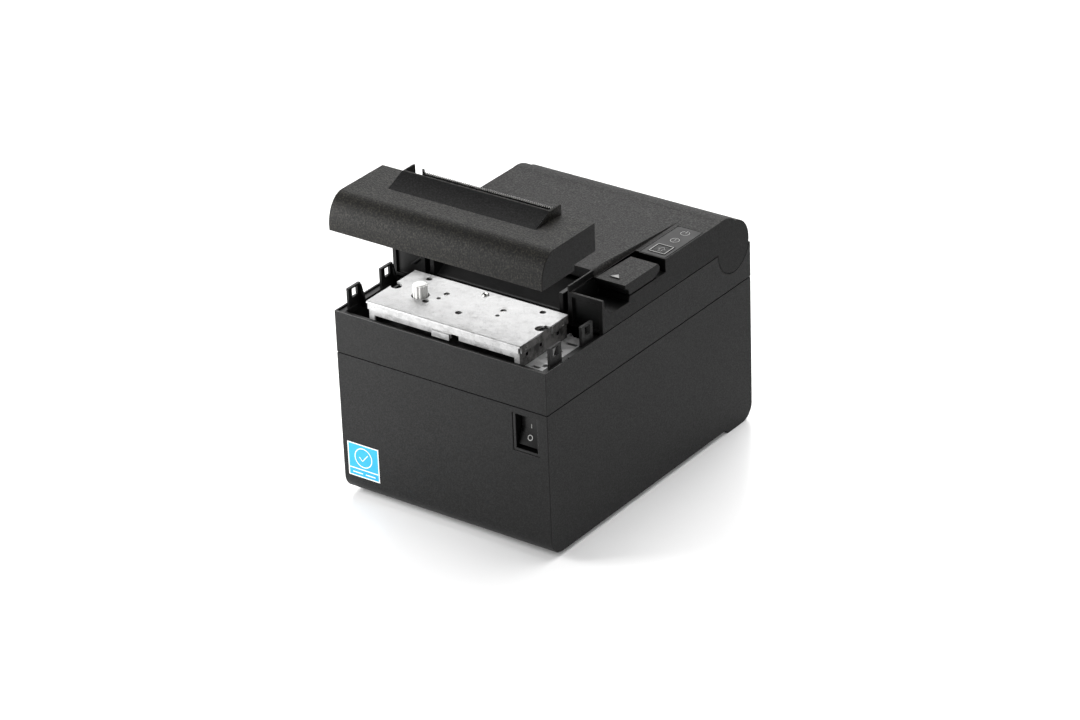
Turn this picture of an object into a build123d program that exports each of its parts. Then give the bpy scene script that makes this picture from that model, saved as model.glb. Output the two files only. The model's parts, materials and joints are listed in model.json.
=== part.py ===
"""Receipt printer: a drop-in roll printer whose cutter cover is lifted off its seat.

Millimetres, +Z up, +X to the right of someone facing the front, +Y towards the back.
Every piece is drawn with y measured back from the front face, so y = 0 is the front
of the casing. export() then moves it so that the origin is under the middle of the base.
"""
from build123d import *
import math
import os

os.makedirs("parts", exist_ok=True)

# ---------------------------------------------------------------- driving dimensions
WIDTH = 145.0
DEPTH = 202.0
HALF = WIDTH / 2
WALL = 2.5                      # moulded casing walls
IN_X = HALF - WALL              # inside face of the side walls
SEAM_Z = 91.4                   # lower case meets upper case
RIM_Z = 117.75                  # top of the upper case
TOP_Z = 138.1                   # flat top of the roll cover and of the seated cutter cover
BASE_Z = 2.7                    # lower edge of the case, above the surface
FLOOR_Z = 6.7                   # inside floor of the lower case

HINGE_Y, HINGE_Z = 184.8, 117.6     # roll cover's hinge axis
LOBE_R = 15.8                       # round end of the roll cover about that axis
HINGE_PIN_R = 2.5

COVER_FRONT = 54.4              # front edge of the roll cover
RAMP_HALF = 50.5                # half width of the raised paper ramp
RAMP_Z = 142.0                  # ramp's highest edge
RAMP_WALL = 1.2                 # walls beside the paper chute
GROOVE = 0.45                   # shadow gap between the shells
GROOVE_DEPTH = 1.2
RAMP_FRONT, RAMP_BACK = 77.0, 161.0

LID_BACK = 50.0                 # rear face of the cutter cover
LIFT = 49.4                     # how far the cutter cover is held above its seat
LID_WALL = 2.2
CREST_Z = 144.0                 # top of the cutter cover's ridge

PLATEN_Y, PLATEN_Z, PLATEN_R = 59.5, 104.0, 6.0
SHAFT_R = 2.5
GEAR_MODULE = 0.8
PLATEN_TEETH, IDLER_TEETH, PINION_TEETH = 20, 30, 12
GEAR_X = (-57.5, -54.0)         # plane of the feed gears
FRAME_X = 49.5                  # inside face of the print mechanism's side plates
SHEET = 1.5

PLATE_Z = 127.0                 # top of the cutter module
KNOB_X, KNOB_Y = -31.1, 25.8
CUTTER_MODULE, KNOB_TEETH, CRANK_TEETH = 0.6, 14, 36
CRANK_RADIUS = 2.5              # half of the moving blade's stroke

LEVER_X = (52.3, 72.2)
LEVER_PIVOT = (103.5, 133.3)
LEVER_PIN_R = 1.25

SWITCH_X, SWITCH_Z = (48.8, 66.6), (64.4, 87.8)
ROCKER_PIVOT = (8.0, 76.7)
ROCKER_TILT = 10.0


# ---------------------------------------------------------------- helpers
def block(x, y, z):
    """A box between (low, high) pairs."""
    size = [high - low for low, high in (x, y, z)]
    middle = [(high + low) / 2 for low, high in (x, y, z)]
    return Pos(*middle) * Box(*size)


def rod(axis, across, radius, span):
    """A cylinder along axis; across holds the other two coordinates in X, Y, Z order."""
    length = span[1] - span[0]
    middle = (span[0] + span[1]) / 2
    if axis == "x":
        return Pos(middle, *across) * Rot(0, 90, 0) * Cylinder(radius, length)
    if axis == "y":
        return Pos(across[0], middle, across[1]) * Rot(90, 0, 0) * Cylinder(radius, length)
    return Pos(*across, middle) * Cylinder(radius, length)


def slab(outline, x):
    """Extrude a closed (y, z) outline, or a list of joined edges, between two x values."""
    if isinstance(outline[0], tuple):
        outline = [Polyline(*outline, close=True)]
    face = Plane.YZ * make_face(Curve() + outline)
    return Pos(x[0], 0, 0) * extrude(face, amount=x[1] - x[0])


def group(pieces):
    """Separate solids kept together as one piece."""
    return Part() + pieces


def both(piece):
    """A piece and its mirror image across the middle plane."""
    return piece + mirror(piece, about=Plane.YZ)


def polar(centre, angle, radius):
    """A point at radius and angle (degrees) from centre."""
    turn = math.radians(angle)
    return (centre[0] + radius * math.cos(turn), centre[1] + radius * math.sin(turn))


def gear_outline(module, teeth, phase, backlash=0.12):
    """Involute spur gear outline about the origin; a tooth is centred at phase degrees."""
    pitch_r = module * teeth / 2
    base_r = pitch_r * math.cos(math.radians(20))
    tip_r = pitch_r + 0.9 * module
    root_r = pitch_r - 1.2 * module
    half_tooth = (math.pi * module / 2 - backlash) / 2 / pitch_r

    def involute(radius):
        if radius <= base_r:
            return 0.0
        roll = math.sqrt((radius / base_r) ** 2 - 1)
        return roll - math.atan(roll)

    flank = [root_r] + [max(base_r, root_r) + (tip_r - max(base_r, root_r)) * i / 4 for i in range(5)]
    if base_r <= root_r:
        flank = flank[1:]
    half_angles = [half_tooth + involute(pitch_r) - involute(r) for r in flank]
    points = []
    for tooth in range(teeth):
        centre = math.radians(phase) + 2 * math.pi * tooth / teeth
        rising = [(r, centre - a) for r, a in zip(flank, half_angles)]
        falling = [(r, centre + a) for r, a in zip(flank, half_angles)][::-1]
        points += [(r * math.cos(t), r * math.sin(t)) for r, t in rising + falling]
    return points


def meshing_phase(phase, teeth, direction, other_teeth):
    """Phase of a gear that lies in direction from a gear with this phase, so they mesh."""
    offset = (direction - phase) / (360 / teeth) % 1
    return direction + 180 - (0.5 - offset) * 360 / other_teeth


def export(name, shape):
    """Move a piece from the front-face measure to the middle of the base, and write it."""
    export_step(Pos(0, -DEPTH / 2, 0) * shape, f"parts/{name}.step")


# ---------------------------------------------------------------- lower case
BOARD_Z = (12.0, 13.6)
PORT_Y = (188.0, DEPTH)
INLET_X, INLET_Z = (-62.0, -34.6), (14.0, 34.0)
USB_X, USB_Z = (-8.0, 4.2), (13.6, 24.6)
NETWORK_X, NETWORK_Z = (12.0, 28.0), (13.6, 27.2)
DRAWER_X, DRAWER_Z = (38.0, 51.4), (13.6, 26.8)
LABEL_X, LABEL_Z, LABEL_DEPTH = (-69.3, -47.0), (14.4, 36.0), 0.25
SCREW_PLACES = [(x, y) for x in (-62.0, 62.0) for y in (38.0, 62.0)]
FOOT_PLACES = [(x, y) for x in (-56.0, 56.0) for y in (22.0, 138.0)]
FRAME_POSTS = [(x, y) for x in (-44.0, 44.0) for y in (18.0, 54.0)]
BOARD_POSTS = [(x, y) for x in (-34.0, 54.0) for y in (76.0, 176.0)]


def case_solid():
    """Outer form of the lower case: round front and rear bottom edges, and a rear skid."""
    return slab([
        Line((0, SEAM_Z), (0, BASE_Z + 10)),
        ThreePointArc((0, BASE_Z + 10), polar((10, BASE_Z + 10), 225, 10), (10, BASE_Z)),
        Polyline((10, BASE_Z), (174, BASE_Z), (176, 0), (192, 0)),
        ThreePointArc((192, 0), polar((192, 10), -45, 10), (DEPTH, 10)),
        Polyline((DEPTH, 10), (DEPTH, SEAM_Z), (0, SEAM_Z)),
    ], (-HALF, HALF))


TRAY_FRONT = 12.0


def lower_case():
    """Front and side walls; the floor tray and the rear panel close it."""
    body = case_solid()
    body -= block((-IN_X, IN_X), (WALL, DEPTH + 1), (FLOOR_Z, SEAM_Z + 1))
    body -= block((-IN_X, IN_X), (TRAY_FRONT, DEPTH + 1), (-1, FLOOR_Z + 1))
    body -= block(SWITCH_X, (-1, WALL + 1), SWITCH_Z)
    return body - block(LABEL_X, (-1, LABEL_DEPTH), LABEL_Z)


def floor_tray():
    tray = case_solid() & block((-IN_X, IN_X), (TRAY_FRONT, DEPTH), (0, FLOOR_Z))
    for x, y in FRAME_POSTS:
        tray += rod("z", (x, y), 4.0, (FLOOR_Z, 50.0))
    for x, y in BOARD_POSTS:
        tray += rod("z", (x, y), 3.0, (FLOOR_Z, BOARD_Z[0]))
    for x, y in SCREW_PLACES:
        tray += rod("z", (x, y), 3.5, (FLOOR_Z, 18.0))
        tray -= rod("z", (x, y), 1.5, (BASE_Z - 1, 15.0))
    return tray


def rear_panel():
    panel = case_solid() & block((-IN_X, IN_X), (DEPTH - WALL, DEPTH), (FLOOR_Z, SEAM_Z))
    for x, z in ((INLET_X, INLET_Z), (USB_X, USB_Z), (NETWORK_X, NETWORK_Z), (DRAWER_X, DRAWER_Z)):
        panel -= block(x, (DEPTH - 6, DEPTH + 1), z)
    return panel


def base_plate():
    plate = block((-66, 66), (12, 148), (1.0, BASE_Z))
    for x, y in SCREW_PLACES:
        plate -= rod("z", (x, y), 3.2, (0, BASE_Z + 1))
    for x, y in FOOT_PLACES:
        plate -= rod("z", (x, y), 7.0, (0, 2.0))
    return plate


def case_screws():
    screws = [rod("z", p, 3.0, (1.2, BASE_Z)) + rod("z", p, 1.5, (BASE_Z, 15.0)) for p in SCREW_PLACES]
    return group(screws)


def rubber_feet():
    return group([rod("z", p, 7.0, (0, 2.0)) for p in FOOT_PLACES])


def power_switch():
    """Housing set into the front wall, open in front, with a bore for the rocker each side."""
    housing = block(SWITCH_X, (0.4, 13.6), SWITCH_Z)
    housing -= block((50.7, 65.0), (0, 12.4), (66.2, 87.2))
    housing -= rod("x", ROCKER_PIVOT, 1.55, (49.8, 65.9))
    return housing


def power_rocker():
    half_height = 9.6
    outline = [(-4.5, -half_height), (-2.7, 0), (-4.5, half_height), (0, half_height), (3.6, 2.5),
               (3.6, -2.5), (0, -half_height)]
    rocker = slab(outline, (51.0, 64.7)) + rod("x", (0, 0), 1.5, (49.9, 65.8))
    return Pos(0, *ROCKER_PIVOT) * Rot(-ROCKER_TILT, 0, 0) * rocker


def label_plate():
    return block(LABEL_X, (0, LABEL_DEPTH), LABEL_Z)


# ---------------------------------------------------------------- upper case
LUG_X = (68.1, 69.9)
LUG_TOP = 128.5
LUGS = [((8.2, 19.2), (11.3, 16.2)), ((38.0, 48.6), (41.2, 46.0))]     # lug and window, in y
LEDGE_Z = 116.7


def upper_case():
    body = block((-HALF, HALF), (0, DEPTH), (SEAM_Z, RIM_Z))
    body -= block((-IN_X, IN_X), (WALL, DEPTH - WALL), (SEAM_Z - 1, RIM_Z + 1))
    # the rim around the cutter well is stepped, with a ledge inside it
    body -= block((-HALF + 1.2, HALF - 1.2), (1.2, COVER_FRONT), (LEDGE_Z, RIM_Z + 1))
    body += both(block((67.6, IN_X), (WALL, COVER_FRONT), (113.5, LEDGE_Z)))
    body += block((-IN_X, IN_X), (WALL, 4.0), (113.5, LEDGE_Z))
    body -= both(block((HALF - 1.2, HALF + 1), (15.0, 22.4), (RIM_Z - 0.7, RIM_Z + 1)))
    # shadow gap round the seam with the lower case
    gap = block((-HALF - 1, HALF + 1), (-1, DEPTH + 1), (SEAM_Z - 1, SEAM_Z + GROOVE))
    edge = HALF - GROOVE_DEPTH
    body -= gap - block((-edge, edge), (GROOVE_DEPTH, DEPTH - GROOVE_DEPTH), (SEAM_Z - 2, SEAM_Z + 1))
    for lug_y, window_y in LUGS:
        lug = block(LUG_X, lug_y, (113.5, LUG_TOP))
        lug -= block((67, 71), window_y, (122.0, 127.3))
        # gusset behind the lug
        gusset = Plane.XZ * make_face(Polyline((LUG_X[0], 113.5), (64.6, 113.5), (64.6, 117.5),
                                               (LUG_X[0] - 0.6, 127.6), (LUG_X[0], 127.6), close=True))
        gusset = Pos(0, lug_y[1], 0) * extrude(gusset, amount=1.2)
        body += both(lug + gusset)
    # shelf ribs that carry the paper bucket's deck
    for y in (84.0, 116.0, 148.0):
        body += both(slab([(y - 1, 94), (y + 1, 94), (y + 1, 110), (y - 1, 110)], (66.0, IN_X)))
    # round seat of the roll cover, and the lower rear wall behind it
    body -= rod("x", (HINGE_Y, HINGE_Z), LOBE_R + 0.3, (-HALF - 1, HALF + 1))
    body -= block((-HALF - 1, HALF + 1), (HINGE_Y, DEPTH + 1), (113.8, RIM_Z + 1))
    # ears that hold the hinge pins, each on a bar that stays in front of the cover's round back
    along = math.radians(205)
    step = (math.cos(along), math.sin(along))
    side = (-step[1], step[0])
    bar = [(HINGE_Y + step[0] * a + side[0] * w, HINGE_Z + step[1] * a + side[1] * w)
           for a, w in ((0, -4.5), (20, -4.5), (20, 4.5), (0, 4.5))]
    ear = slab(bar, (62.0, 66.0)) + rod("x", (HINGE_Y, HINGE_Z), 6.0, (62.0, 66.0))
    ear += block((62.0, IN_X), (160.0, 168.0), (99.0, 112.0))
    ear -= rod("x", (HINGE_Y, HINGE_Z), HINGE_PIN_R, (61.0, 67.0))
    return body + both(ear)


def hinge_pins():
    pin = rod("x", (HINGE_Y, HINGE_Z), HINGE_PIN_R, (62.0, 69.8))
    return group([pin, mirror(pin, about=Plane.YZ)])


# ---------------------------------------------------------------- print mechanism
IDLER_CENTRE = polar((PLATEN_Y, PLATEN_Z), 235, GEAR_MODULE * (PLATEN_TEETH + IDLER_TEETH) / 2)
MOTOR_CENTRE = polar(IDLER_CENTRE, 250, GEAR_MODULE * (IDLER_TEETH + PINION_TEETH) / 2)
MOTOR_R = 14.0
HEAD_GAP = 0.3
HEAD_ANGLE = 45.0               # the head's face looks up and back at the platen
HEAD_HALF = 41.0
SPRING_X = (-20.0, 22.0)
SPRING_LENGTH = 10.0


def head_point(along, depth):
    """(y, z) of a point on the print head: along its face, and depth behind the face."""
    face = polar((PLATEN_Y, PLATEN_Z), HEAD_ANGLE + 180, PLATEN_R + HEAD_GAP + depth)
    return polar(face, HEAD_ANGLE + 90, along)


def head_slab(along, depth, x):
    corners = [(along[0], depth[0]), (along[1], depth[0]), (along[1], depth[1]), (along[0], depth[1])]
    return slab([head_point(a, d) for a, d in corners], x)


def mechanism_frame():
    plate = block((FRAME_X, FRAME_X + SHEET), (14, 66), (50, 112.5))
    plate -= block((48, 53), (PLATEN_Y - 4.5, PLATEN_Y + 4.5), (PLATEN_Z - 4.5, 113))
    flange = block((FRAME_X, 66.0), (6, 52), (111.0, 112.5))
    for y, reach in ((11, 60), (24, 63), (33, 59), (43, 62)):
        flange -= block((55.0, reach), (y, y + 2.2), (110, 113))
    flange -= rod("z", (61.0, 16.0), 1.6, (110, 113))
    frame = both(plate) + flange
    frame += block((-FRAME_X, FRAME_X), (14, 58), (50, 51.5))
    # spring bracket behind the head; it is cut back over the feed motor
    bracket_depth = (8 + SPRING_LENGTH, 8 + SPRING_LENGTH + 1.2)
    frame += head_slab((1.5, 9), bracket_depth, (-FRAME_X, FRAME_X))
    frame += head_slab((-2, 9), bracket_depth, (-25.0, FRAME_X))
    frame -= rod("x", MOTOR_CENTRE, 5.6, (-53, -48))
    stud = rod("x", IDLER_CENTRE, 2.0, (-58.5, -FRAME_X - SHEET + 0.2))
    return frame + stud


def print_head():
    head = head_slab((-6, 12), (0, 2.0), (-HEAD_HALF, HEAD_HALF))
    return head


def head_heatsink():
    sink = head_slab((-6, 12), (2.0, 8.0), (-HEAD_HALF, HEAD_HALF))
    for place in range(7):
        x = -34.0 + place * 34.0 / 3
        sink -= head_slab((-7, -1.5), (5.0, 9.0), (x - 1.5, x + 1.5))
    return sink


def coil(radius, wire, length, turns):
    """A compression spring standing on the origin along +Z."""
    path = Helix(pitch=(length - wire) / turns, height=length - wire, radius=radius)
    section = Plane(origin=path @ 0, z_dir=path % 0) * Circle(wire / 2)
    return Pos(0, 0, wire / 2) * sweep(section, path=path)


def head_springs():
    springs = []
    for x in SPRING_X:
        y, z = head_point(3.5, 8 + SPRING_LENGTH)
        springs.append(Pos(x, y, z) * Rot(-(90 - HEAD_ANGLE), 0, 0) * Pos(0, 0, 0.15)
                       * coil(3.0, 0.8, SPRING_LENGTH - 0.3, 5))
    return group(springs)


def head_cable():
    """Flat cable from under the head, down behind the frame, to the mainboard."""
    middle = [head_point(-6.4, 5.0), (60.6, 84.0), (60.6, 24.0), (66.0, 15.6), (72.0, 15.6)]
    thickness = 0.5
    upper = middle
    lower = [(y + thickness, z - thickness * 0.4) for y, z in middle[:2]]
    lower += [(60.6 + thickness, 24.2), (66.2, 15.6 + thickness), (72.0, 15.6 + thickness)]
    return slab(upper + lower[::-1], (-8.0, 18.0))


def feed_motor():
    y, z = MOTOR_CENTRE
    can = rod("x", (y, z), MOTOR_R, (-48.3, -28.0))
    can += block((-49.5, -48.3), (y - 10, y + 10), (z - MOTOR_R, z + MOTOR_R))
    can -= rod("x", (y, z), 1.6, (-50, -46))
    return can


PLATEN_PHASE = 235.0
IDLER_PHASE = meshing_phase(PLATEN_PHASE, PLATEN_TEETH, 235.0, IDLER_TEETH)
PINION_PHASE = meshing_phase(IDLER_PHASE, IDLER_TEETH, 250.0, PINION_TEETH)


def feed_gear(teeth, phase, centre, bore_r, x=GEAR_X):
    outline = gear_outline(GEAR_MODULE, teeth, phase)
    gear = Pos(0, *centre) * slab(outline, x)
    if bore_r:
        gear -= rod("x", centre, bore_r, (x[0] - 1, x[1] + 1))
    return gear


def idler_gear():
    return feed_gear(IDLER_TEETH, IDLER_PHASE, IDLER_CENTRE, 2.05)


def motor_pinion():
    pinion = feed_gear(PINION_TEETH, PINION_PHASE, MOTOR_CENTRE, 0)
    return pinion + rod("x", MOTOR_CENTRE, 1.55, (GEAR_X[1] - 0.5, -46.2))


# ---------------------------------------------------------------- cutter module
CUTTER_HALF = 52.7
FLOOR_TOP = 114.0
BLADE_Z = (119.6, 120.4)
CRANK_CENTRE = (KNOB_X + CUTTER_MODULE * (KNOB_TEETH + CRANK_TEETH) / 2, KNOB_Y)
CRANK_PIN = (CRANK_CENTRE[0], CRANK_CENTRE[1] - CRANK_RADIUS)
CUTTER_GEAR_Z = (115.0, 118.0)


def cutter_frame():
    """Folded sheet tray that holds the blade, its gears and its motor."""
    tray = block((-51.6, 51.6), (5.2, 49.4), (112.8, 125.8))
    tray -= block((-50.4, 50.4), (6.4, 50), (FLOOR_TOP, 126))
    tray -= block((5.1, 10.4), (5, 7), (118.0, 121.6))
    tray -= block((-48.0, 48.0), (5, 6.4), (112, 118.8))
    tray -= block((-48.0, 48.0), (5, 8.0), (112, 114.5))
    for place in (11.0, 24.0, 40.0):
        tray -= both(block((50, 52), (place, place + 2.0), (118.0, 120.0)))
    tray -= rod("z", (KNOB_X, KNOB_Y), 3.0, (112, 115))
    tray += rod("z", CRANK_CENTRE, 2.0, (FLOOR_TOP - 0.2, 118.5))
    # rails under the moving blade
    for x in (-44.0, -8.0, 30.0):
        tray += block((x - 1.5, x + 1.5), (38.0, 49.4), (FLOOR_TOP - 0.2, BLADE_Z[0] - 0.2))
    return tray


def cutter_top_plate():
    plate = block((-CUTTER_HALF, CUTTER_HALF), (4.1, 49.5), (125.8, PLATE_Z))
    plate += block((-CUTTER_HALF + 1, CUTTER_HALF - 1), (4.1, 5.2), (122.4, 126.0))
    plate = fillet(plate.edges().filter_by(Axis.X).sort_by(lambda e: e.center().Z - e.center().Y)[-1], 1.0)
    plate += both(block((51.6, CUTTER_HALF), (6, 22), (122.0, 126.0)))
    plate += both(block((51.6, CUTTER_HALF), (35, 49.5), (121.6, 126.0)))
    plate -= both(block((51, 53), (9.6, 11.4), (122.8, 124.4)))
    plate -= both(block((51, 53), (44.0, 45.8), (122.4, 124.0)))
    plate += block((-7.5, 4.4), (4.1, 5.2), (117.6, 121.2))
    holes = [(39.2, 44.7, 1.9), (-39.2, 44.7, 1.9), (19.6, 34.8, 1.8), (-19.6, 34.8, 1.8), (20.2, 28.2, 1.3),
             (-20.2, 28.2, 1.3), (-24.3, 21.6, 2.0), (-0.2, 19.9, 2.0), (KNOB_X, KNOB_Y, 5.2)]
    for x, y, radius in holes:
        plate -= rod("z", (x, y), radius, (125, 128))
    notch = rod("z", (49.6, 28.0), 3.2, (120, 128)) + block((49.6, 54), (26.4, 32.6), (120, 128))
    plate -= both(notch)
    return plate


def cutter_screw():
    """Round-headed screw that holds the top plate."""
    x, y = -0.2, 45.1
    head = Pos(x, y, PLATE_Z - 0.6) * Sphere(2.3)
    head &= block((x - 3, x + 3), (y - 3, y + 3), (PLATE_Z, PLATE_Z + 3))
    return head


def cutter_motor():
    can = rod("z", (KNOB_X, KNOB_Y), 8.4, (89.0, 112.6))
    return can - rod("z", (KNOB_X, KNOB_Y), 1.6, (108, 113))


def cutter_knob():
    """Fluted knob and its gear on the cutter motor's shaft; it is turned by hand to free a jam."""
    flutes = 11
    knob = rod("z", (KNOB_X, KNOB_Y), 4.3, (122.0, 133.8))
    knob += rod("z", (KNOB_X, KNOB_Y), 3.4, (133.8, 134.3))
    for place in range(flutes):
        x, y = polar((KNOB_X, KNOB_Y), 360 * place / flutes, 4.65)
        knob -= rod("z", (x, y), 0.85, (123.0, 135.0))
    gear = Plane.XY * make_face(Polyline(*gear_outline(CUTTER_MODULE, KNOB_TEETH, 0), close=True))
    knob += Pos(KNOB_X, KNOB_Y, CUTTER_GEAR_Z[0]) * extrude(gear, amount=CUTTER_GEAR_Z[1] - CUTTER_GEAR_Z[0])
    knob += rod("z", (KNOB_X, KNOB_Y), 2.2, (114.0, 123.0))
    return knob + rod("z", (KNOB_X, KNOB_Y), 1.55, (109.0, 115.0))


def crank_gear():
    phase = meshing_phase(0.0, KNOB_TEETH, 0.0, CRANK_TEETH)
    gear = Plane.XY * make_face(Polyline(*gear_outline(CUTTER_MODULE, CRANK_TEETH, phase), close=True))
    gear = Pos(*CRANK_CENTRE, CUTTER_GEAR_Z[0]) * extrude(gear, amount=CUTTER_GEAR_Z[1] - CUTTER_GEAR_Z[0])
    gear -= rod("z", CRANK_CENTRE, 2.05, (114, 120))
    return gear


def crank_pin():
    x, y = polar(CRANK_CENTRE, -90, CRANK_RADIUS + 3.2)
    return rod("z", (x, y), 1.0, (CUTTER_GEAR_Z[1], BLADE_Z[0] - 0.3))


def moving_blade():
    """Flat blade with a shallow V edge and a yoke over the crank."""
    edge = 49.2
    outline = [(-42, 34), (-29.5, 34), (-26.0, 31.0), (-26.0, 16.0), (-4.0, 16.0), (-4.0, 34), (42, 34),
               (42, edge), (0, edge - 2.5), (-42, edge)]
    blade = extrude(make_face(Polyline(*outline, close=True)), amount=BLADE_Z[1] - BLADE_Z[0])
    blade = Pos(0, 0, BLADE_Z[0]) * blade
    return blade - block((-24.5, -6.0), (18.6, 21.0), (119, 121))


# ---------------------------------------------------------------- paper bucket and electronics
BUCKET_IN = 41.5
ROLL_Y, ROLL_Z, ROLL_R = 121.0, 71.0, 43.5
GUIDE_Z = 92.0


def bucket_outline(radius, top):
    return [
        Polyline((ROLL_Y - radius, ROLL_Z), (ROLL_Y - radius, top), (ROLL_Y + radius, top),
                 (ROLL_Y + radius, ROLL_Z)),
        ThreePointArc((ROLL_Y + radius, ROLL_Z), (ROLL_Y, ROLL_Z - radius), (ROLL_Y - radius, ROLL_Z)),
    ]


def paper_bucket():
    bucket = slab(bucket_outline(ROLL_R + 2, 112.5), (-BUCKET_IN - 2, BUCKET_IN + 2))
    bucket += block((-69.5, 69.5), (76, 156), (110.0, 112.5))
    bucket -= slab(bucket_outline(ROLL_R, 114), (-BUCKET_IN, BUCKET_IN))
    bucket -= block((-BUCKET_IN, BUCKET_IN), (70, 82), (GUIDE_Z, 114))
    bucket += block((-BUCKET_IN - 2, BUCKET_IN + 2), (63.0, 77.5), (GUIDE_Z - 2, GUIDE_Z))
    bucket -= block((BUCKET_IN - 1, BUCKET_IN + 3), (116, 126), (46, 54))
    return bucket


def paper_sensor():
    """Low-paper sensor in the side of the bucket."""
    return block((BUCKET_IN + 0.3, BUCKET_IN + 8), (116, 126), (46, 54))


def mainboard():
    board = block((-40, 60), (70, 186), BOARD_Z)
    top = BOARD_Z[1]
    for x, y, width, length, height in ((20, 110, 16, 16, 2), (-12, 104, 12, 18, 2), (44, 96, 10, 8, 3),
                                        (5, 74, 30, 5, 4.5), (-30, 150, 10, 20, 8)):
        board += block((x - width / 2, x + width / 2), (y - length / 2, y + length / 2), (top, top + height))
    for x, y in ((40, 130), (48, 142), (-20, 138)):
        board += rod("z", (x, y), 4.0, (top, top + 9))
    return board - block((-8.5, 18.5), (69, 73.2), (top + 0.5, top + 3.5))


def power_supply():
    unit = block((-68, -46), (84, 164), (FLOOR_Z, 78.0))
    for place in range(9):
        y = 92.0 + place * 8
        unit -= block((-69, -67), (y, y + 3), (40, 68))
    return unit


def power_inlet():
    (x0, x1), (z0, z1) = INLET_X, INLET_Z
    middle = (x0 + x1) / 2
    inlet = block(INLET_X, PORT_Y, INLET_Z)
    inlet -= block((x0 + 1.7, x1 - 1.7), (190, DEPTH + 1), (z0 + 1.9, z1 - 1.9))
    for x, z in ((middle - 7, z0 + 6), (middle + 7, z0 + 6), (middle, z0 + 9.5)):
        inlet += block((x - 1, x + 1), (189, DEPTH - 1.5), (z - 2, z + 2))
    return inlet


def usb_port():
    port = block(USB_X, (186.0, DEPTH), USB_Z)
    port -= block((USB_X[0] + 1.2, USB_X[1] - 1.2), (190, DEPTH + 1), (USB_Z[0] + 1.2, USB_Z[1] - 1.2))
    tongue = block((USB_X[0] + 3.2, USB_X[1] - 3.2), (189, DEPTH - 2), (USB_Z[0] + 3.9, USB_Z[1] - 3.9))
    return port + tongue


def jack(x, z, opening):
    """Modular jack with a step for the plug's latch."""
    middle = (x[0] + x[1]) / 2
    port = block(x, (186.0, DEPTH), z)
    port -= block((middle - opening / 2, middle + opening / 2), (190, DEPTH + 1), (z[0] + 3.4, z[1] - 1.8))
    port -= block((middle - 2.6, middle + 2.6), (190, DEPTH + 1), (z[0] + 1.6, z[0] + 4))
    return port


# ---------------------------------------------------------------- roll cover
LEVER_WELL = (51.6, 73.0)
PANEL_X, PANEL_Y = (54.5, 71.5), (117.0, 155.5)
BUTTON_X, BUTTON_Y = (57.8, 68.9), (120.3, 131.0)
BUTTON_GAP = 0.25
LIGHTS = [(63.4, 139.0), (63.4, 149.3)]
LIGHT_R = 3.1
ARM_X = (43.2, 46.0)
CHUTE = [(COVER_FRONT - 1, 123.0), (57.0, 123.0), (RAMP_FRONT, 135.0), (RAMP_FRONT, 150), (COVER_FRONT - 1, 150)]
CHUTE_HALF = RAMP_HALF - RAMP_WALL


def paper_ramp():
    """Raised middle of the roll cover: it falls towards the back and rolls off at its sides."""
    base, shoulder = 51.5, 46.6
    arch = make_face(Polyline((-base, TOP_Z), (-base, TOP_Z - 1), (base, TOP_Z - 1), (base, TOP_Z))
                     + ThreePointArc((base, TOP_Z), (base - 1.6, 140.7), (shoulder, RAMP_Z + 0.05))
                     + Line((shoulder, RAMP_Z + 0.05), (-shoulder, RAMP_Z + 0.05))
                     + ThreePointArc((-shoulder, RAMP_Z + 0.05), (1.6 - base, 140.7), (-base, TOP_Z)))
    arch = Pos(0, RAMP_FRONT, 0) * extrude(Plane.XZ * arch, amount=-(RAMP_BACK - RAMP_FRONT))
    ramp = arch & slab([(RAMP_FRONT, TOP_Z - 1), (RAMP_FRONT, RAMP_Z), (RAMP_BACK, TOP_Z), (RAMP_BACK, TOP_Z - 1)],
                       (-HALF, HALF))
    wall = block((CHUTE_HALF, RAMP_HALF), (COVER_FRONT, RAMP_FRONT + 1.0), (TOP_Z - 1, RAMP_Z - 0.2))
    return ramp + both(wall)


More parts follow.
